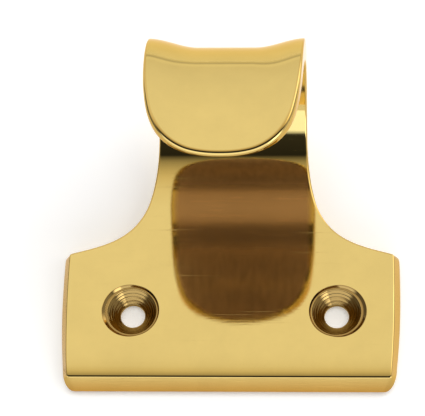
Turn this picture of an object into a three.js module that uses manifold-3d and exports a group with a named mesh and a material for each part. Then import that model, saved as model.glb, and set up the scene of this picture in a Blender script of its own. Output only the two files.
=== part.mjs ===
// Hook sash lift: one brass casting that screws flat to the bottom rail of a sliding sash window.
// A flat plate with two countersunk screw holes narrows through concave shoulders to a neck. The
// neck arches forward and over through half a turn and ends in a round-ended finger lip, so the
// casting is a single bent strip and fingers lift under the lip.
//
// Millimetres. The casting lies on its back: the back face is the plane Z = 0, +Z points into the
// room, +Y points up the sash, and the origin is on the casting's middle line, level with the
// screw holes.
import * as THREE from 'three';
import { mergeVertices } from 'three/addons/utils/BufferGeometryUtils.js';
import Module from 'manifold-3d';

const wasm = await Module();
wasm.setup();

// ---- plate ----
const PLATE_THICKNESS = 3.3;
const PLATE_HALF_WIDTH = 29.1; // front face, at the middle of its bowed sides
const PLATE_BOTTOM = -12.4; // bottom edge of the front face
const SIDE_BOW = 0.36; // how much the sides draw in towards the corners
const SIDE_TAPER = 0.2; // and how much wider the plate is at its top than at its middle
const SIDE_DRAFT = 0.75; // the back outline stands this far outside the front one
const BOTTOM_BEVEL = 1.8; // the same along the bottom edge
const FRONT_CORNER = 1.0; // length of the front face's small bottom corner
const BACK_CORNER_WIDTH = 2.2; // the back's bottom corners are quarter ellipses
const BACK_CORNER_HEIGHT = 4.2;
const TOP_CORNER_RADIUS = 0.6;
const TOP_CORNER_Y = 10.4; // where the side ends and the top corner starts
const SHOULDER_SLOPE = THREE.MathUtils.degToRad(15);
const SHOULDER_PULL = 9.0; // how far the shoulder's curve holds the slope
const NECK_PULL = 18.6; // how far it holds the straight line of the neck

// ---- hook ----
const ARCH_START = 20.0; // Y where the plate turns into the arch
const INNER_RADIUS = 17.95; // of the finger space
const OUTER_RADIUS = 20.6; // of the arch's outer side, which rises from the back face
const ARCH_FULLNESS = 0.62; // handles of the arch's lower quarter; a quarter circle has 0.55
const NECK_HALF_WIDTH = 13.2;
const NECK_END = 33.2; // distance along the strip where the neck is at its narrowest
const HOOK_HALF_WIDTH = 13.6;
const HOOK_START = 56; // and where it has widened to the hook's width
const LIP_LENGTH = 7.3; // straight part of the lip, beyond the arch
const TIP_THICKNESS = 1.4;
const ROUND_LENGTH = 37; // length over which the strip narrows to its round end
const ROUND_POWER = 7.3; // shape of that narrowing, a little fuller than a half circle
const ROUND_ROOT = 2.23;
const ROUND_CAP = 14; // the stretch with finely spaced rings

// ---- thumb dish: a channel along the outside of the hook, with raised borders ----
const DISH_DEPTH = 1.6;
const DISH_FLOOR_HALF = 5; // the channel's floor is flat to here
const DISH_BORDER = 13.6; // and the borders are level from here out
const DISH_FADE_START = 25; // distance along the strip where the channel begins
const DISH_FADE_END = 48; // and where it has its full depth

// ---- screw holes, for a countersunk wood screw with a 4.2 mm shank ----
const HOLE_SPACING = 36.0;
const HOLE_SHIFT = 0.7; // the pair is drilled this far to the right of the casting's middle
const HOLE_RADIUS = 2.15;
const COUNTERSINK_RADIUS = 4.8;
const SPOT_FACE_RADIUS = 4.9; // shallow recess around the countersink, cut off its centre
const SPOT_FACE_DEPTH = 0.45;
const SPOT_FACE_OFFSET = 0.4; // towards the plate's nearer end
const HOLE_SEGMENTS = 32;

const BRASS = new THREE.MeshStandardMaterial({ color: 0xd9b560, roughness: 0.16, metalness: 1.0 });

const ARCH_LENGTH = Math.PI * INNER_RADIUS;
const ARCH_END = ARCH_START + ARCH_LENGTH;
const STRIP_END = ARCH_END + LIP_LENGTH;
const LIP_THICKNESS = 2 * OUTER_RADIUS - (PLATE_THICKNESS + 2 * INNER_RADIUS);

const smooth = (value, low, high) => THREE.MathUtils.smoothstep(value, low, high);

// ---- side view: where each skin of the strip runs in the YZ plane ----
// The strip is followed by s, which is Y on the plate and the distance along the finger space
// beyond it. The inner skin is the plate's front and the inside of the hook; the outer skin is
// the plate's back and the outside of the hook.

// The arch at unit size: a full quarter from (0, 0) to (1, 1), then a quarter circle to (0, 2).
const LOWER_QUARTER = new THREE.CubicBezierCurve(
  new THREE.Vector2(0, 0),
  new THREE.Vector2(ARCH_FULLNESS, 0),
  new THREE.Vector2(1, 1 - ARCH_FULLNESS),
  new THREE.Vector2(1, 1),
);

function archTurn(s) {
  return THREE.MathUtils.clamp((s - ARCH_START) / INNER_RADIUS, 0, Math.PI);
}

function unitArch(turn) {
  if (turn <= Math.PI / 2) return LOWER_QUARTER.getPoint(turn / (Math.PI / 2));
  return new THREE.Vector2(Math.sin(turn), 1 - Math.cos(turn));
}

function skinPoint(s, radius, base) {
  const run = Math.max(s - ARCH_END, 0);
  const start = new THREE.Vector2(Math.min(s, ARCH_START) - run, base);
  return unitArch(archTurn(s)).multiplyScalar(radius).add(start);
}

function innerPoint(s) {
  const point = skinPoint(s, INNER_RADIUS, PLATE_THICKNESS);
  const run = Math.max(s - ARCH_END, 0);
  point.y += (LIP_THICKNESS - TIP_THICKNESS) * (run / LIP_LENGTH) ** 2;
  return point;
}

function outerPoint(s) {
  return skinPoint(s, OUTER_RADIUS, 0);
}

function outerNormal(s) {
  const turn = archTurn(s);
  if (turn > Math.PI / 2) return new THREE.Vector2(Math.sin(turn), -Math.cos(turn));
  const along = LOWER_QUARTER.getTangent(turn / (Math.PI / 2));
  return new THREE.Vector2(along.y, -along.x);
}

function dishHeight(x, s) {
  const across = smooth(Math.abs(x), DISH_FLOOR_HALF, DISH_BORDER);
  return DISH_DEPTH * across * smooth(s, DISH_FADE_START, DISH_FADE_END);
}

// ---- outline: half width against s, followed from the plate's bottom corner to the tip ----

function sideHalfWidth(s) {
  const middle = (PLATE_BOTTOM + TOP_CORNER_Y) / 2;
  const half = (TOP_CORNER_Y - PLATE_BOTTOM) / 2;
  const along = (s - middle) / half;
  return PLATE_HALF_WIDTH + SIDE_TAPER * along - SIDE_BOW * along ** 2;
}

function roundedHalfWidth(s) {
  const widening = smooth(s, NECK_END, HOOK_START);
  const halfWidth = THREE.MathUtils.lerp(NECK_HALF_WIDTH, HOOK_HALF_WIDTH, widening);
  const along = Math.min((STRIP_END - s) / ROUND_LENGTH, 1);
  return halfWidth * (1 - (1 - along) ** ROUND_POWER) ** (1 / ROUND_ROOT);
}

function arcPoints(centre, radiusX, radiusY, from, to, steps) {
  return Array.from({ length: steps + 1 }, (_, i) => {
    const angle = from + ((to - from) * i) / steps;
    const offset = new THREE.Vector2(radiusX * Math.cos(angle), radiusY * Math.sin(angle));
    return offset.add(centre);
  });
}

const CORNER_STEPS = 6;
const CORNER_END = PLATE_BOTTOM + FRONT_CORNER; // end of the bottom corner on the front
const BACK_CORNER_END = PLATE_BOTTOM - BOTTOM_BEVEL + BACK_CORNER_HEIGHT; // and on the back

function frontCorner() {
  const start = sideHalfWidth(PLATE_BOTTOM);
  const spread = sideHalfWidth(CORNER_END) - start;
  const centre = new THREE.Vector2(start, CORNER_END);
  return arcPoints(centre, spread, FRONT_CORNER, -Math.PI / 2, 0, CORNER_STEPS);
}

function backCorner() {
  const centreX = sideHalfWidth(CORNER_END) + SIDE_DRAFT - BACK_CORNER_WIDTH;
  const centre = new THREE.Vector2(centreX, BACK_CORNER_END);
  return arcPoints(
    centre, BACK_CORNER_WIDTH, BACK_CORNER_HEIGHT, -Math.PI / 2, 0, CORNER_STEPS,
  );
}

function sideOutline() {
  const steps = 6;
  const side = Array.from({ length: steps - 1 }, (_, i) => {
    const s = THREE.MathUtils.lerp(CORNER_END, TOP_CORNER_Y, (i + 1) / steps);
    return new THREE.Vector2(sideHalfWidth(s), s);
  });
  const topX = sideHalfWidth(TOP_CORNER_Y) - TOP_CORNER_RADIUS;
  const turn = Math.PI / 2 - SHOULDER_SLOPE;
  const centre = new THREE.Vector2(topX, TOP_CORNER_Y);
  const top = arcPoints(centre, TOP_CORNER_RADIUS, TOP_CORNER_RADIUS, 0, turn, 4);
  return [...side, ...top];
}

function shoulderOutline(start) {
  const pull = new THREE.Vector2(-Math.cos(SHOULDER_SLOPE), Math.sin(SHOULDER_SLOPE));
  const curve = new THREE.CubicBezierCurve(
    start,
    start.clone().addScaledVector(pull, SHOULDER_PULL),
    new THREE.Vector2(NECK_HALF_WIDTH, NECK_END - NECK_PULL),
    new THREE.Vector2(NECK_HALF_WIDTH, NECK_END),
  );
  return curve.getPoints(16).slice(1);
}

function hookOutline() {
  const steps = 22;
  const roundSteps = 14;
  const roundStart = STRIP_END - ROUND_CAP;
  const hook = Array.from({ length: steps }, (_, i) => {
    const s = THREE.MathUtils.lerp(NECK_END, roundStart, (i + 1) / steps);
    return new THREE.Vector2(roundedHalfWidth(s), s);
  });
  const round = Array.from({ length: roundSteps - 1 }, (_, i) => {
    const s = roundStart + ROUND_CAP * Math.sin((Math.PI / 2) * ((i + 1) / roundSteps));
    return new THREE.Vector2(roundedHalfWidth(s), s);
  });
  return [...hook, ...round];
}

// The back stands outside the front by the draft, along the sides and shoulders. The draft fades
// out along the neck, and on the hook both skins have one outline.
function draftedOutline(front) {
  return front.map((point, i) => {
    const before = front[Math.max(i - 1, 0)];
    const after = front[Math.min(i + 1, front.length - 1)];
    const normal = new THREE.Vector2(after.y - before.y, before.x - after.x).normalize();
    const draft = SIDE_DRAFT * (1 - smooth(point.y, TOP_CORNER_Y, DISH_FADE_START));
    const back = point.clone().addScaledVector(normal, draft);
    if (point.y < 0) back.y = point.y * (BACK_CORNER_END / CORNER_END);
    return back;
  });
}

// ---- solid: closed rings across the strip, joined one after another and capped ----

const ACROSS = [0, 0.2, 0.37, 0.46, 0.55, 0.64, 0.73, 0.82, 0.91, 1]; // shares of the half width

function ringAt(front, back) {
  const shares = [...ACROSS.slice(1).map((share) => -share).reverse(), ...ACROSS];
  const outer = shares.map((share) => {
    const x = share * back.x;
    const centre = outerPoint(back.y);
    const normal = outerNormal(back.y);
    const lift = dishHeight(x, back.y);
    return new THREE.Vector3(x, centre.x + normal.x * lift, centre.y + normal.y * lift);
  });
  const inner = shares.map((share) => {
    const centre = innerPoint(front.y);
    return new THREE.Vector3(share * front.x, centre.x, centre.y);
  });
  return [...outer, ...inner.reverse()];
}

function stripGeometry() {
  const side = sideOutline();
  const upper = [...side, ...shoulderOutline(side[side.length - 1]), ...hookOutline()];
  const front = [...frontCorner(), ...upper];
  const back = [...backCorner(), ...draftedOutline(upper)];
  const rings = front.map((point, i) => ringAt(point, back[i]));
  const size = rings[0].length;
  const triangles = [];
  for (let r = 0; r + 1 < rings.length; r += 1) {
    for (let i = 0; i < size; i += 1) {
      const next = (i + 1) % size;
      triangles.push(rings[r][i], rings[r + 1][i], rings[r + 1][next]);
      triangles.push(rings[r][i], rings[r + 1][next], rings[r][next]);
    }
  }
  const half = size / 2;
  const first = rings[0];
  const last = rings[rings.length - 1];
  for (let i = 0; i + 1 < half; i += 1) {
    const across = size - 1 - i;
    triangles.push(first[i], first[i + 1], first[across - 1]);
    triangles.push(first[i], first[across - 1], first[across]);
    triangles.push(last[i], last[across - 1], last[i + 1]);
    triangles.push(last[i], last[across], last[across - 1]);
  }
  return new THREE.BufferGeometry().setFromPoints(triangles);
}

function turnedCutter(profile, x) {
  const points = profile.map(([radius, z]) => new THREE.Vector2(radius, z));
  const cutter = new THREE.LatheGeometry(points, HOLE_SEGMENTS);
  cutter.rotateX(Math.PI / 2);
  cutter.translate(x, 0, 0);
  return cutter;
}

function screwHoleCutter(x) {
  const sink = COUNTERSINK_RADIUS - HOLE_RADIUS; // a 90 degree cone is as deep as it is wide
  return turnedCutter([
    [0, -1],
    [HOLE_RADIUS, -1],
    [HOLE_RADIUS, PLATE_THICKNESS - sink],
    [COUNTERSINK_RADIUS + 1, PLATE_THICKNESS + 1],
    [0, PLATE_THICKNESS + 1],
  ], x);
}

function spotFaceCutter(x) {
  const floor = PLATE_THICKNESS - SPOT_FACE_DEPTH;
  const top = PLATE_THICKNESS + 1;
  return turnedCutter([[0, floor], [SPOT_FACE_RADIUS, floor], [SPOT_FACE_RADIUS, top], [0, top]], x);
}

// ---- joining and cutting ----

function toSolid(geometry) {
  const bare = geometry.clone();
  bare.deleteAttribute('normal');
  bare.deleteAttribute('uv');
  const merged = mergeVertices(bare, 1e-4);
  return new wasm.Manifold(new wasm.Mesh({
    numProp: 3,
    vertProperties: new Float32Array(merged.attributes.position.array),
    triVerts: new Uint32Array(merged.index.array),
  }));
}

function toGeometry(solid) {
  const mesh = solid.getMesh();
  const geometry = new THREE.BufferGeometry();
  geometry.setAttribute('position', new THREE.BufferAttribute(mesh.vertProperties, 3));
  geometry.setIndex(new THREE.BufferAttribute(mesh.triVerts, 1));
  geometry.computeVertexNormals();
  return geometry;
}

function liftCasting() {
  let casting = toSolid(stripGeometry());
  for (const side of [-1, 1]) {
    const x = HOLE_SHIFT + (side * HOLE_SPACING) / 2;
    casting = casting.subtract(toSolid(screwHoleCutter(x)));
    casting = casting.subtract(toSolid(spotFaceCutter(x + side * SPOT_FACE_OFFSET)));
  }
  const mesh = new THREE.Mesh(toGeometry(casting), BRASS);
  mesh.name = 'lift_casting';
  return mesh;
}

const group = new THREE.Group();
group.add(liftCasting());

export default group;
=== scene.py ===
# Looks for the sash lift handle: the polished brass casting, the floor, the light and the camera.
import math

import bpy
import numpy as np
from mathutils import Matrix, Vector
from mathutils.geometry import delaunay_2d_cdt


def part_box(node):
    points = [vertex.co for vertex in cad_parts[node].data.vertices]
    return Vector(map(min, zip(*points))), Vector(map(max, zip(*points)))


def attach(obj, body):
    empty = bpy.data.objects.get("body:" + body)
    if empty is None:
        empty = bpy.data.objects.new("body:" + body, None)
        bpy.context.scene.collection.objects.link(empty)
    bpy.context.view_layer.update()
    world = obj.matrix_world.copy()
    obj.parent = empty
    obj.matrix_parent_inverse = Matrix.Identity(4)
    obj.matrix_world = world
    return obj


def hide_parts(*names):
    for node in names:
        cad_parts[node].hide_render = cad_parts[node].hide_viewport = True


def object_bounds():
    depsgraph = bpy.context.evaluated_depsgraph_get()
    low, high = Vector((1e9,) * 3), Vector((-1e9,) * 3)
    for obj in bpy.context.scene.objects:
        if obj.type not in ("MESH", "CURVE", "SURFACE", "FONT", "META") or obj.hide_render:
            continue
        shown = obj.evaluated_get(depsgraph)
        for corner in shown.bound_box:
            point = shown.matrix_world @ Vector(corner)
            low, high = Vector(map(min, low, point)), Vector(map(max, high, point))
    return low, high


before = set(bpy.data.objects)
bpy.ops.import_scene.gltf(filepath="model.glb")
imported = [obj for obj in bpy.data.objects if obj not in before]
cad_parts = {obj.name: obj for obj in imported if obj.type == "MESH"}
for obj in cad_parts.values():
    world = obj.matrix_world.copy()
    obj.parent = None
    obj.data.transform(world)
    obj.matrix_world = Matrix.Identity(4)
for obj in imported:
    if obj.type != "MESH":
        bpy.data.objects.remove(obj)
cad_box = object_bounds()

MM = 0.001  # the shape is worked out in millimetres and built in metres

# ---- driving dimensions, in millimetres; the large ones come from the CAD casting's box ----
LOW, HIGH = [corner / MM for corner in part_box("lift_casting")]

PLATE_THICKNESS = 3.3
SIDE_DRAFT = 0.75  # the back outline stands this far outside the front one
BOTTOM_BEVEL = 1.8  # the same along the bottom edge
SIDE_BOW = 0.36
SIDE_TAPER = 0.2
PLATE_HALF_WIDTH = HIGH.x - SIDE_DRAFT - SIDE_TAPER ** 2 / (4 * SIDE_BOW)
PLATE_BOTTOM = LOW.y + BOTTOM_BEVEL
FRONT_CORNER = 0.55
BACK_CORNER_WIDTH = 2.2
BACK_CORNER_HEIGHT = 4.2
TOP_CORNER_RADIUS = 0.6
TOP_CORNER_Y = 10.4
SHOULDER_SLOPE = math.radians(15)
SHOULDER_PULL = 9.0
NECK_PULL = 18.6
NECK_HALF_WIDTH = 13.2
NECK_END = 33.2

DISH_DEPTH = 1.6
DISH_FLOOR_HALF = 5
DISH_BORDER = 13.6
DISH_FADE_START = 25
DISH_FADE_END = 48

ARCH_START = 20.0
INNER_RADIUS = 17.95
OUTER_RADIUS = HIGH.y - DISH_DEPTH - ARCH_START
ARCH_FULLNESS = 0.62  # handles of the arch's lower quarter; a quarter circle has 0.55
HOOK_HALF_WIDTH = 13.6
HOOK_START = 56
LIP_LENGTH = 7.3
TIP_THICKNESS = 1.4
ROUND_LENGTH = 37
ROUND_POWER = 7.3
ROUND_ROOT = 2.23
ROUND_CAP = 14

HOLE_SPACING = 36.0
HOLE_SHIFT = 0.7
HOLE_RADIUS = 2.15
COUNTERSINK_RADIUS = 4.8
SPOT_FACE_RADIUS = 4.9
SPOT_FACE_DEPTH = 0.45
SPOT_FACE_OFFSET = 0.4
SPOT_FACE_FLANK = 0.55  # share of the recess's width taken by its sloping flank

ARCH_LENGTH = math.pi * INNER_RADIUS  # the arch's share of s
ARCH_END = ARCH_START + ARCH_LENGTH
SATIN_START = 0.32  # shares of the arch between which the inside changes from polished to satin
SATIN_END = 0.44
SATIN_BORDER = 1.1  # the rim of the hook's inside stays polished
TIP_BORDER = 0.4  # the same along the lip's tip
BORDER_FADE = 0.5, 1.1  # shares of a border's width between which it turns satin
LIP_ROUGHER = 0.7  # how much rougher the lip's underside is left than the back of the arch
LIP_ROUGH_START = 0.83  # shares of the arch between which it gets rougher
LIP_ROUGH_END = 0.92
STRIP_END = ARCH_END + LIP_LENGTH
LIP_THICKNESS = 2 * OUTER_RADIUS - (PLATE_THICKNESS + 2 * INNER_RADIUS)

# ---- fineness of the visual mesh ----
FRONT_ROUNDING = 0.4  # radius of the edges between the inner skin and the side walls
# Radius of the edges between the outer skin and the side walls, by the distance s.
BACK_ROUNDING_AT = [20, 30, 62, 78]
BACK_ROUNDING = [0.7, 0.35, 0.35, 0.9]
ROUNDING_STEPS = 6
GRID = 0.7  # spacing of the skins' inner points
HOLE_STEPS = 96
CROWN_REACH = 7.0  # the plate's front falls away over this distance from its bottom edge
CROWN_DEPTH = 0.62
SIDE_CROWN_REACH = 1.2  # the same beside its side edges
SIDE_CROWN_DEPTH = 0.26
CREASE = 0.07  # half width of the broken edges in the screw holes
CONE_STEPS = 36  # rows of points down a countersink
TURNING_PITCH = 6  # rows to each turning mark
TURNING_DEPTH = 0.04
TURNING_TILT = 0.12  # how far a mark's flank turns the surface
TURNED_MEAN = 0.86  # share of the turned finish and its painted shade, which swings from row to row
TURNED_SWING = 0.14
TURNED_STEP = 2.2
SIDE_WALL_FINISH_AND_SHADE = 0.3  # share of the walls' rougher finish and painted shade along the sides; it is whole on the bevel


def smoothstep(value, low, high):
    t = np.clip((np.asarray(value, float) - low) / (high - low), 0, 1)
    return t * t * (3 - 2 * t)


# ---- the strip in side view, followed by s: Y on the plate, then distance round the hook ----

def unit_arch(s):
    """The arch at unit size, from (0, 0) by (1, 1) to (0, 2), and its outward normals."""
    turn = np.clip((s - ARCH_START) / INNER_RADIUS, 0, math.pi)
    t = np.minimum(turn / (math.pi / 2), 1)
    bend = 6 * t * (1 - t)
    y = 3 * ARCH_FULLNESS * t * (1 - t) ** 2 + bend * t / 2 + t ** 3
    z = (1 - ARCH_FULLNESS) * bend * t / 2 + t ** 3
    along_y = 3 * ARCH_FULLNESS * (1 - t) * (1 - 3 * t) + bend
    along_z = (1 - ARCH_FULLNESS) * (bend - 3 * t ** 2) + 3 * t ** 2
    length = np.hypot(along_y, along_z)
    upper = turn > math.pi / 2
    y = np.where(upper, np.sin(turn), y)
    z = np.where(upper, 1 - np.cos(turn), z)
    normal_y = np.where(upper, np.sin(turn), along_z / length)
    normal_z = np.where(upper, -np.cos(turn), -along_y / length)
    return y, z, normal_y, normal_z


def edge_crown(x, s):
    """How far polishing has worn the plate's front down towards its bottom edge and sides."""
    below = np.maximum(PLATE_BOTTOM + CROWN_REACH - s, 0) / CROWN_REACH
    beside = np.maximum(np.abs(x) - PLATE_HALF_WIDTH + SIDE_CROWN_REACH, 0) / SIDE_CROWN_REACH
    return CROWN_DEPTH * below ** 5 + SIDE_CROWN_DEPTH * beside ** 3


def inner_skin(x, s):
    """Points of the plate's front and the inside of the hook."""
    arch_y, arch_z, _, _ = unit_arch(s)
    run = np.maximum(s - ARCH_END, 0)
    y = np.minimum(s, ARCH_START) + INNER_RADIUS * arch_y - run
    thinning = (LIP_THICKNESS - TIP_THICKNESS) * (run / LIP_LENGTH) ** 2
    z = PLATE_THICKNESS + INNER_RADIUS * arch_z + thinning - edge_crown(x, s)
    return np.stack([x + 0 * s, y, z], -1)


def dish_height(x, s):
    across = smoothstep(np.abs(x), DISH_FLOOR_HALF, DISH_BORDER)
    return DISH_DEPTH * across * smoothstep(s, DISH_FADE_START, DISH_FADE_END)


def outer_skin(x, s):
    """Points of the plate's back and the outside of the hook, with its thumb dish."""
    arch_y, arch_z, normal_y, normal_z = unit_arch(s)
    lift = dish_height(x, s)
    run = np.maximum(s - ARCH_END, 0)
    y = np.minimum(s, ARCH_START) + OUTER_RADIUS * arch_y - run + normal_y * lift
    z = OUTER_RADIUS * arch_z + normal_z * lift
    return np.stack([x + 0 * s, y, z], -1)


def unit(vectors):
    return vectors / np.linalg.norm(vectors, axis=-1, keepdims=True)


def skin_normals(skin, x, s):
    """Unit normals that point out of the metal."""
    step = 0.02
    along_x = skin(x + step, s) - skin(x - step, s)
    along_s = skin(x, s + step) - skin(x, s - step)
    side = 1 if skin is inner_skin else -1
    return side * unit(np.cross(along_x, along_s))


# ---- outline of the strip in the (x, s) plane: right half, from the bottom edge to the tip ----

def side_half_width(s):
    middle = (PLATE_BOTTOM + TOP_CORNER_Y) / 2
    half = (TOP_CORNER_Y - PLATE_BOTTOM) / 2
    along = (s - middle) / half
    return PLATE_HALF_WIDTH + SIDE_TAPER * along - SIDE_BOW * along ** 2


def hook_half_width(s):
    widening = smoothstep(s, NECK_END, HOOK_START)
    half_width = NECK_HALF_WIDTH + (HOOK_HALF_WIDTH - NECK_HALF_WIDTH) * widening
    along = np.minimum((STRIP_END - s) / ROUND_LENGTH, 1)
    return half_width * (1 - (1 - along) ** ROUND_POWER) ** (1 / ROUND_ROOT)


def arc(centre_x, centre_s, radius_x, radius_s, start, end, steps):
    angle = np.linspace(start, end, steps + 1)
    return np.stack([centre_x + radius_x * np.cos(angle), centre_s + radius_s * np.sin(angle)], 1)


def corner_outlines():
    """The bottom edge and bottom corner, on the front and on the back."""
    corner_end = PLATE_BOTTOM + FRONT_CORNER
    side = side_half_width(corner_end)
    front = arc(side - FRONT_CORNER, corner_end, FRONT_CORNER, FRONT_CORNER, -math.pi / 2, 0, 10)
    back_x = side + SIDE_DRAFT - BACK_CORNER_WIDTH
    back_s = PLATE_BOTTOM - BOTTOM_BEVEL + BACK_CORNER_HEIGHT
    back = arc(back_x, back_s, BACK_CORNER_WIDTH, BACK_CORNER_HEIGHT, -math.pi / 2, 0, 10)
    shares = np.linspace(0, 1, 60)[:-1, None]
    return (np.vstack([front[0] * [0, 1] + shares * front[0] * [1, 0], front]),
            np.vstack([back[0] * [0, 1] + shares * back[0] * [1, 0], back]))


def bezier(a, b, c, d, steps):
    t = np.linspace(0, 1, steps + 1)[:, None]
    return a * (1 - t) ** 3 + 3 * b * t * (1 - t) ** 2 + 3 * c * t * t * (1 - t) + d * t ** 3


def upper_outline():
    """Side, top corner, shoulder, neck, hook and round end."""
    s = np.linspace(PLATE_BOTTOM + FRONT_CORNER, TOP_CORNER_Y, 46)[1:-1]
    side = np.stack([side_half_width(s), s], 1)
    turn = math.pi / 2 - SHOULDER_SLOPE
    top_x = side_half_width(TOP_CORNER_Y) - TOP_CORNER_RADIUS
    top = arc(top_x, TOP_CORNER_Y, TOP_CORNER_RADIUS, TOP_CORNER_RADIUS, 0, turn, 8)
    pull = np.array([-math.cos(SHOULDER_SLOPE), math.sin(SHOULDER_SLOPE)]) * SHOULDER_PULL
    neck_end = np.array([NECK_HALF_WIDTH, NECK_END])
    shoulder = bezier(top[-1], top[-1] + pull, neck_end - [0, NECK_PULL], neck_end, 60)[1:]
    s = np.linspace(NECK_END, STRIP_END - ROUND_CAP, 60)[1:]
    hook = np.stack([hook_half_width(s), s], 1)
    s = STRIP_END - ROUND_CAP * (1 - np.sin(np.linspace(0, math.pi / 2, 70)[1:]))
    tip = np.stack([hook_half_width(s), s], 1)
    tip[-1, 0] = 0
    return np.vstack([side, top, shoulder, hook, tip])


def outline_normals(loop):
    """Unit normals of a closed outline, pointing outwards."""
    tangent = unit(np.roll(loop, -1, 0) - np.roll(loop, 1, 0))
    return np.stack([tangent[:, 1], -tangent[:, 0]], 1)


def mirrored(half):
    """The closed outline: the right half going up, then the left half coming down."""
    return np.vstack([half, half[-2:0:-1] * [-1, 1]])


def outlines():
    front_corner, back_corner = corner_outlines()
    upper = upper_outline()
    front = mirrored(np.vstack([front_corner, upper]))
    normals = outline_normals(front)[len(front_corner):len(front_corner) + len(upper)]
    draft = SIDE_DRAFT * (1 - smoothstep(upper[:, 1], TOP_CORNER_Y, DISH_FADE_START))
    back = upper + normals * draft[:, None]
    back[-1, 0] = 0
    low = upper[:, 1] < 0
    corner_end = PLATE_BOTTOM + FRONT_CORNER
    back_end = PLATE_BOTTOM - BOTTOM_BEVEL + BACK_CORNER_HEIGHT
    back[low, 1] = upper[low, 1] * (back_end / corner_end)
    return front, mirrored(np.vstack([back_corner, back]))


# ---- one closed mesh, made of rows of points that share their neighbours' points ----

class Solid:
    """Collects points, their normals, how they are finished, and faces."""

    def __init__(self):
        self.points = []
        self.normals = []
        self.faces = []
        self.finishes = {"satin": [], "turned": [], "wall": []}

    def add(self, points, normals, **finish):
        """finish says how much of the satin, turned or wall finish the points have; the turned and
        wall finishes also carry painted shade.
        """
        start = len(self.points)
        self.points.extend(points)
        self.normals.extend(unit(normals))
        for name, values in self.finishes.items():
            values.extend(finish.get(name, 0) + np.zeros(len(points)))
        return np.arange(start, start + len(points))

    def join(self, row, following):
        """Faces between two closed rows of equally many points."""
        for i in range(len(row)):
            j = (i + 1) % len(row)
            self.faces.append((row[i], row[j], following[j], following[i]))

    def object(self, name):
        mesh = bpy.data.meshes.new(name)
        mesh.from_pydata((np.array(self.points) * MM).tolist(), [], self.faces, shade_flat=False)
        mesh.normals_split_custom_set_from_vertices(np.array(self.normals).tolist())
        for finish, values in self.finishes.items():
            mesh.attributes.new(finish, "FLOAT", "POINT").data.foreach_set("value", values)
        made = bpy.data.objects.new(name, mesh)
        bpy.context.scene.collection.objects.link(made)
        return made


def inside(loop, points):
    """Which points lie inside a closed loop, by counting crossings."""
    a, b = loop, np.roll(loop, -1, 0)
    count = np.zeros(len(points), int)
    for (ax, ay), (bx, by) in zip(a, b):
        crosses = (ay > points[:, 1]) != (by > points[:, 1])
        if not crosses.any():
            continue
        at = ax + (points[:, 1] - ay) * (bx - ax) / (by - ay)
        count += crosses & (points[:, 0] < at)
    return count % 2 == 1


def clear_of(loops, points, gap):
    """Which points are at least gap away from every loop's points."""
    clear = np.ones(len(points), bool)
    for loop in loops:
        for part in range(0, len(points), 2000):
            block = points[part:part + 2000]
            distance = np.linalg.norm(block[:, None] - loop[None], axis=2).min(1)
            clear[part:part + 2000] &= distance > gap
    return clear


def satin_share(x, s):
    """The back of the arch is left satin and the lip's underside rougher, up to a polished rim."""
    share = (s - ARCH_START) / ARCH_LENGTH
    width = hook_half_width(np.clip(s, NECK_END, STRIP_END))
    within = smoothstep((width - np.abs(x)) / SATIN_BORDER, *BORDER_FADE)
    within = within * smoothstep((STRIP_END - s) / TIP_BORDER, *BORDER_FADE)
    rougher = 1 + LIP_ROUGHER * smoothstep(share, LIP_ROUGH_START, LIP_ROUGH_END)
    return smoothstep(share, SATIN_START, SATIN_END) * within * rougher


def grid_points(loop, holes):
    """A regular grid inside a loop and outside its holes, a little clear of their points."""
    low, high = loop.min(0), loop.max(0)
    columns = np.arange(0, high[0], GRID)
    columns = np.concatenate([-columns[:0:-1], columns])
    rows = np.linspace(low[1], high[1], round((high[1] - low[1]) / GRID))
    grid = np.stack(np.meshgrid(columns, rows), -1).reshape(-1, 2)
    keep = inside(loop, grid) & clear_of([loop, *holes], grid, 0.55 * GRID)
    for hole in holes:
        keep &= ~inside(hole, grid)
    return grid[keep]


def triangles(loop, holes, flat, edges):
    """Triangles between the flat points, inside the loop and outside its holes, all one way round."""
    result = delaunay_2d_cdt([Vector(p) for p in flat], edges, [], 0, 1e-7)
    origin = [ids[0] for ids in result[3]]
    faces = np.array([[origin[i] for i in face] for face in result[2]])
    centres = flat[faces].mean(1)
    wanted = inside(loop, centres)
    for hole in holes:
        wanted &= ~inside(hole, centres)
    faces = faces[wanted]
    turn = np.cross(flat[faces[:, 1]] - flat[faces[:, 0]], flat[faces[:, 2]] - flat[faces[:, 0]])
    faces[turn < 0] = faces[turn < 0][:, ::-1]
    return faces


def fill_skin(solid, skin, loop, holes):
    """Triangles over a skin, inside its loop and outside its holes. Gives the loops' rows."""
    rings = [loop, *holes]
    flat = np.vstack([*rings, grid_points(loop, holes)])
    edges = []
    rows = []
    start = 0
    for ring in rings:
        rows.append(np.arange(start, start + len(ring)))
        edges += [(start + i, start + (i + 1) % len(ring)) for i in range(len(ring))]
        start += len(ring)
    faces = triangles(loop, holes, flat, edges)
    if skin is outer_skin:
        faces = faces[:, ::-1]
    x, s = flat.T
    satin = satin_share(x, s) if skin is inner_skin else 0
    ids = solid.add(skin(x, s), skin_normals(skin, x, s), satin=satin)
    solid.faces.extend(map(tuple, ids[faces]))
    return [ids[row] for row in rows]


def rounded_rows(skin, outline, radius, wall_normals):
    """Rows from a skin's inset loop over the rounded edge to the side wall."""
    outward = outline_normals(outline)
    rows = []
    for angle in np.linspace(0, math.pi / 2, ROUNDING_STEPS + 1):
        x, s = (outline - outward * radius * (1 - math.sin(angle))).T
        normals = skin_normals(skin, x, s)
        points = skin(x, s) - normals * radius * (1 - math.cos(angle))
        rows.append((points, normals * math.cos(angle) + wall_normals * math.sin(angle)))
    return rows


def side_wall_normals(front, back):
    """Normals of the straight wall between the front outline and the back outline."""
    top = inner_skin(*front.T)
    across = top - outer_skin(*back.T)
    along = np.roll(top, -1, 0) - np.roll(top, 1, 0)
    return unit(np.cross(along, across))


# ---- screw holes ----

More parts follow.
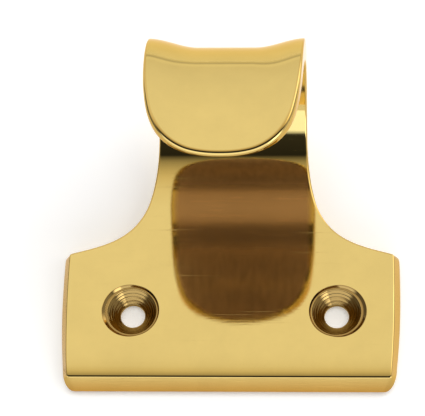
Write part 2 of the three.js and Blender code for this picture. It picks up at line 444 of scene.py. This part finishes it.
def hole_circle(x, radius, angle):
    return np.stack([x + radius * np.cos(angle), radius * np.sin(angle)], 1)


def rim_radius(side, angle):
    """How far the recess round the countersink reaches from the hole's own axis."""
    shift = side * SPOT_FACE_OFFSET
    return shift * np.cos(angle) + np.sqrt(SPOT_FACE_RADIUS ** 2 - (shift * np.sin(angle)) ** 2)


def hole_profile(side, angle):
    """Rows of (radius, height, inward normal, upward normal) from the plate's front to its back."""
    top = PLATE_THICKNESS
    floor = top - SPOT_FACE_DEPTH
    cone_top = COUNTERSINK_RADIUS - SPOT_FACE_DEPTH
    rim = np.maximum(rim_radius(side, angle), COUNTERSINK_RADIUS)
    width = SPOT_FACE_FLANK * (rim - cone_top)
    slope = np.hypot(width, SPOT_FACE_DEPTH)
    inward, upward = SPOT_FACE_DEPTH / slope, width / slope
    rows = [[rim + CREASE, top, 0, 1]]
    for share in (0.06, 0.5, 0.94):
        rows.append([rim - width * share, top - SPOT_FACE_DEPTH * share, inward, upward])
    rows.append([rim - 1.1 * width, floor, 0, 1])
    rows.append([cone_top + CREASE, floor, 0, 1])
    cone_bottom = top - (COUNTERSINK_RADIUS - HOLE_RADIUS)
    radii = np.linspace(cone_top, HOLE_RADIUS + CREASE, CONE_STEPS + 1)[1:]
    for step, radius in enumerate(radii):
        groove = TURNING_DEPTH * (step % TURNING_PITCH) / TURNING_PITCH
        tilt = TURNING_TILT * (math.cos(step) + math.cos(1.7 * step)) / 2
        height = radius - HOLE_RADIUS + cone_bottom - groove
        rows.append([radius + groove, height, 1 + tilt, 1 - tilt])
    rows.append([HOLE_RADIUS, cone_bottom - CREASE, 1, 0])
    rows.append([HOLE_RADIUS, 2 * CREASE, 1, 0])
    rows.append([HOLE_RADIUS + 2 * CREASE, 0, 0, -1])
    return rows


def hole_rows(side):
    """Points and normals of a hole's rows, and its loops on the front and on the back."""
    angle = np.linspace(0, 2 * math.pi, HOLE_STEPS, endpoint=False)
    centre = HOLE_SHIFT + side * HOLE_SPACING / 2
    rows = []
    for radius, height, inward, upward in hole_profile(side, angle):
        ring = hole_circle(centre, radius, angle)
        radial = hole_circle(0, -inward + 0 * angle, angle)
        points = np.column_stack([ring, height + 0 * angle])
        rows.append((points, np.column_stack([radial, upward + 0 * angle])))
    return rows, rows[0][0][:, :2], rows[-1][0][:, :2]


def wall_finish_and_shade(points):
    """The side walls are rougher and get painted shade, a little browner than the faces, and most so
    down the bottom bevel.
    """
    down = np.clip((PLATE_BOTTOM - points[:, 1]) / BOTTOM_BEVEL, 0, 1)
    return SIDE_WALL_FINISH_AND_SHADE + (1 - SIDE_WALL_FINISH_AND_SHADE) * down


def add_walls(solid, row, rows):
    """Carries the mesh on from row through the wall's rows, and gives the last of them."""
    for points, normals in rows:
        # wall carries the walls' rougher finish and their painted shade
        following = solid.add(points, normals, wall=wall_finish_and_shade(points))
        solid.join(following, row)
        row = following
    return row


def add_hole(solid, rows, first, last):
    """A screw hole, from its loop on the front to its loop on the back."""
    row = first
    for number, (points, normals) in enumerate(rows[1:-1]):
        # turned carries the turning marks and the painted shade in the countersink
        turned = TURNED_MEAN + TURNED_SWING * math.cos(TURNED_STEP * number)
        following = solid.add(points, normals, turned=turned)
        solid.join(row, following)
        row = following
    solid.join(row, last)


def build_casting():
    solid = Solid()
    front, back = outlines()
    walls = side_wall_normals(front, back)
    back_radius = np.interp(back[:, 1:], BACK_ROUNDING_AT, BACK_ROUNDING)
    front_rows = rounded_rows(inner_skin, front, FRONT_ROUNDING, walls)
    back_rows = rounded_rows(outer_skin, back, back_radius, walls)
    front_loop = front - outline_normals(front) * FRONT_ROUNDING
    back_loop = back - outline_normals(back) * back_radius
    holes = [hole_rows(side) for side in (-1, 1)]
    front_ids = fill_skin(solid, inner_skin, front_loop, [hole[1] for hole in holes])
    back_ids = fill_skin(solid, outer_skin, back_loop, [hole[2] for hole in holes])
    row = add_walls(solid, front_ids[0], front_rows[1:] + back_rows[:0:-1])
    solid.join(back_ids[0], row)
    for (rows, _, _), first, last in zip(holes, front_ids[1:], back_ids[1:]):
        add_hole(solid, rows, first, last)
    return solid.object("sash_lift_casting")


# ---- materials ----

class Nodes:
    """Short ways to add and link shader nodes in one tree."""

    def __init__(self, tree):
        self.tree = tree

    def set(self, socket, value):
        if isinstance(value, bpy.types.NodeSocket):
            self.tree.links.new(value, socket)
        elif value is not None:
            socket.default_value = value

    def math(self, operation, a, b=None, c=None):
        node = self.tree.nodes.new("ShaderNodeMath")
        node.operation = operation
        for socket, value in zip(node.inputs, (a, b, c)):
            self.set(socket, value)
        return node.outputs[0]

    def range(self, value, low, high, to_low, to_high, kind="LINEAR"):
        node = self.tree.nodes.new("ShaderNodeMapRange")
        node.interpolation_type = kind
        for socket, setting in zip(node.inputs, (value, low, high, to_low, to_high)):
            self.set(socket, setting)
        return node.outputs[0]

    def mix(self, share, a, b):
        node = self.tree.nodes.new("ShaderNodeMix")
        node.data_type = "RGBA"
        self.set(node.inputs["Factor"], share)
        self.set(node.inputs[6], a)
        self.set(node.inputs[7], b)
        return node.outputs[2]

    def tint(self, colour, brightness):
        node = self.tree.nodes.new("ShaderNodeVectorMath")
        node.operation = "SCALE"
        self.set(node.inputs[0], colour)
        self.set(node.inputs["Scale"], brightness)
        return node.outputs[0]

    def place(self, scale, turn):
        """The point on the object, turned about Z and stretched, for a pattern to read."""
        where = self.tree.nodes.new("ShaderNodeTexCoord")
        node = self.tree.nodes.new("ShaderNodeMapping")
        self.set(node.inputs["Vector"], where.outputs["Object"])
        node.inputs["Scale"].default_value = scale
        node.inputs["Rotation"].default_value = (0, 0, turn)
        return node.outputs[0]

    def noise(self, scale, detail, roughness, turn=0):
        node = self.tree.nodes.new("ShaderNodeTexNoise")
        self.set(node.inputs["Vector"], self.place(scale, turn))
        node.inputs["Scale"].default_value = 1
        node.inputs["Detail"].default_value = detail
        node.inputs["Roughness"].default_value = roughness
        return node.outputs["Fac"]

    def attribute(self, name):
        node = self.tree.nodes.new("ShaderNodeAttribute")
        node.attribute_name = name
        return node.outputs["Fac"]

    def bump(self, height, distance):
        node = self.tree.nodes.new("ShaderNodeBump")
        node.inputs["Distance"].default_value = distance
        self.set(node.inputs["Height"], height)
        return node.outputs[0]


def new_material(name):
    material = bpy.data.materials.new(name)
    material.use_nodes = True
    tree = material.node_tree
    return material, Nodes(tree), tree.nodes["Principled BSDF"]


POLISHED = (0.595, 0.44, 0.148, 1)
SATIN = (0.46, 0.30, 0.245, 1)
# painted shade: the countersinks' darker colour, beside their turning marks
TURNED_COLOUR_AND_SHADE = (0.25, 0.145, 0.04, 1)
# painted shade: the walls' darker, browner colour, whole on the bottom bevel that faces the floor
WALL_SHADE_COLOUR = (0.42, 0.22, 0.04, 1)
MOTTLE = 0.05, 0.1  # how much the satin's mottling darkens it, from light spots to dark ones

# The roughness of the polish and its haze, and what each mark or finish adds to it.
HAZE = 0.03, 0.055
STREAK_ROUGHNESS = 0.05
SCRATCH_ROUGHNESS = 0.14
SATIN_ROUGHNESS = 0.17
TURNED_ROUGHNESS = 0.07
WALL_ROUGHNESS = 0.06
SATIN_DULLING = 0.3  # how much less metallic the satin is
SCRATCH_TURN = 0.45  # radians between the hair scratches and the polish lines


def brass_colour(nodes, satin, blotch):
    """The base colour: one brass in four finishes, slightly clouded, the satin mottled; the walls and
    countersinks carry painted shade.
    """
    # the wall mix paints shade on the walls, most on the bottom bevel
    colour = nodes.mix(nodes.attribute("wall"), POLISHED, WALL_SHADE_COLOUR)
    colour = nodes.mix(satin, colour, SATIN)
    # the turned mix paints shade into the countersinks as well as their turning rings
    colour = nodes.mix(nodes.attribute("turned"), colour, TURNED_COLOUR_AND_SHADE)
    cloud = nodes.range(nodes.noise((160, 160, 160), 4, 0.6), 0.3, 0.7, 0.97, 1.03)
    mottle = nodes.range(blotch, 0.35, 0.7, *MOTTLE)
    stain = nodes.math("MULTIPLY", nodes.math("POWER", satin, 3), mottle)
    brightness = nodes.math("MULTIPLY", cloud, nodes.math("SUBTRACT", 1, stain))
    return nodes.tint(colour, brightness)


def brass_roughness(nodes, satin, blotch, streak):
    """Polish with a slight haze, polish lines and hair scratches, and the rougher finishes."""
    gloss = nodes.range(blotch, 0.3, 0.75, *HAZE)
    line = nodes.range(streak, 0.62, 0.78, 0, 1)
    scratch = nodes.range(nodes.noise((55, 5200, 5200), 1, 0.4, SCRATCH_TURN), 0.70, 0.74, 0, 1)
    for share, roughness in ((line, STREAK_ROUGHNESS), (scratch, SCRATCH_ROUGHNESS),
                             (satin, SATIN_ROUGHNESS), (nodes.attribute("turned"), TURNED_ROUGHNESS),
                             (nodes.attribute("wall"), WALL_ROUGHNESS)):
        gloss = nodes.math("MULTIPLY_ADD", share, roughness, gloss)
    return gloss


def brass_material():
    """Mirror polish outside, satin under the lip, turning marks in the countersinks, painted shade in
    the countersinks and on the walls.
    """
    material, nodes, shader = new_material("polished_brass")
    satin = nodes.attribute("satin")
    blotch = nodes.noise((900, 260, 260), 5, 0.65)
    streak = nodes.noise((180, 9000, 9000), 2, 0.5)
    nodes.set(shader.inputs["Base Color"], brass_colour(nodes, satin, blotch))
    nodes.set(shader.inputs["Metallic"], nodes.math("MULTIPLY_ADD", satin, -SATIN_DULLING, 1))
    shader.inputs["Specular Tint"].default_value = (1.0, 0.80, 0.50, 1)
    nodes.set(shader.inputs["Roughness"], brass_roughness(nodes, satin, blotch, streak))
    nodes.set(shader.inputs["Normal"], nodes.bump(streak, 0.0000012))
    return material


# ---- surroundings, in metres ----

FLOOR_RADIUS = 0.32
FLOOR_CENTRE_Y = 0.01
FLOOR_GAP = 0.0002
FLOOR_GLOW = 0.26


def build_floor():
    bpy.ops.mesh.primitive_circle_add(vertices=128, radius=FLOOR_RADIUS, fill_type="NGON")
    floor = bpy.context.object
    floor.name = "floor"
    floor.location = (0, FLOOR_CENTRE_Y, cad_box[0][2] - FLOOR_GAP)
    material, nodes, shader = new_material("pale_floor")
    shader.inputs["Base Color"].default_value = (0.9, 0.9, 0.9, 1)
    shader.inputs["Roughness"].default_value = 0.9
    shader.inputs["Specular IOR Level"].default_value = 0
    shader.inputs["Emission Color"].default_value = (1, 1, 1, 1)
    shader.inputs["Emission Strength"].default_value = FLOOR_GLOW
    floor.data.materials.append(material)


# The surroundings by the angle round the X axis, in degrees from +Z towards +Y: angle,
# brightness, warmth.
SURROUNDINGS = [
    (-180, 0.8, 0), (-93, 1.85, -0.3), (-62, 1.85, -0.3), (-56, 0.05, 0), (-28, 0.03, 0),
    (-20, 0.5, 0.3), (-10, 0.84, 0.3), (-3, 1.03, 0.25), (8, 1.18, 0.1), (24, 1.3, 0),
    (60, 1.2, 0), (86, 1.1, 0), (91, 1.25, 0), (93, 0.7, 0), (97, 1.15, 0), (180, 0.9, 0),
]
END_GREY = (0.28, 0.28, 0.285, 1)  # of the surroundings far to the left and right
ENDS = 0.72, 0.9  # how far a direction points left or right where the grey begins and is whole
WINDOW = 0.46, 0.52  # how far it points right where the brighter light there begins and is whole
WINDOW_GLOW = 1.2


def build_world():
    world = bpy.data.worlds.new("studio")
    bpy.context.scene.world = world
    world.use_nodes = True
    tree = world.node_tree
    nodes = Nodes(tree)
    direction = tree.nodes.new("ShaderNodeTexCoord")
    split = tree.nodes.new("ShaderNodeSeparateXYZ")
    nodes.set(split.inputs[0], direction.outputs["Generated"])
    x, y, z = split.outputs
    angle = nodes.math("ARCTAN2", y, z)
    ramp = tree.nodes.new("ShaderNodeValToRGB")
    nodes.set(ramp.inputs[0], nodes.range(angle, -math.pi, math.pi, 0, 1))
    stops = ramp.color_ramp.elements
    while len(stops) < len(SURROUNDINGS):
        stops.new(0.5)
    for stop, (degrees, brightness, warmth) in zip(stops, SURROUNDINGS):
        green = brightness * (1 - 0.3 * warmth)
        blue = brightness * (1 - warmth)
        stop.position = (degrees + 180) / 360
        stop.color = (brightness, green, blue, 1)
    ends = nodes.range(nodes.math("ABSOLUTE", x), *ENDS, 0, 1, "SMOOTHSTEP")
    background = tree.nodes["Background"]
    window = nodes.range(x, *WINDOW, 0, WINDOW_GLOW, "SMOOTHSTEP")
    nodes.set(background.inputs["Strength"], nodes.math("ADD", window, 1))
    nodes.set(background.inputs["Color"], nodes.mix(ends, ramp.outputs["Color"], END_GREY))


# The camera looks at the plate from below its normal and a little to the right of it.
CAMERA_TILT = math.radians(24)
CAMERA_TURN = math.radians(3.65)
CAMERA_DISTANCE = 0.6
CAMERA_TARGET = Vector((-0.00305, 0.01641, 0.01082))
CAMERA_LENS = 289.2  # millimetres


def build_camera():
    tilt, turn = CAMERA_TILT, CAMERA_TURN
    right = Vector((math.cos(turn), math.sin(turn) * math.sin(tilt), -math.sin(turn) * math.cos(tilt)))
    up = Vector((0, math.cos(tilt), math.sin(tilt)))
    towards = right.cross(up)
    data = bpy.data.cameras.new("camera")
    data.lens = CAMERA_LENS
    data.clip_end = 10
    camera = bpy.data.objects.new("camera", data)
    bpy.context.scene.collection.objects.link(camera)
    camera.matrix_world = Matrix((right, up, towards)).transposed().to_4x4()
    camera.location = CAMERA_TARGET + towards * CAMERA_DISTANCE
    bpy.context.scene.camera = camera


bpy.context.scene.view_settings.view_transform = "Standard"
build_camera()
casting = build_casting()
casting.data.materials.append(brass_material())
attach(casting, "root")
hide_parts("lift_casting")
build_floor()
build_world()
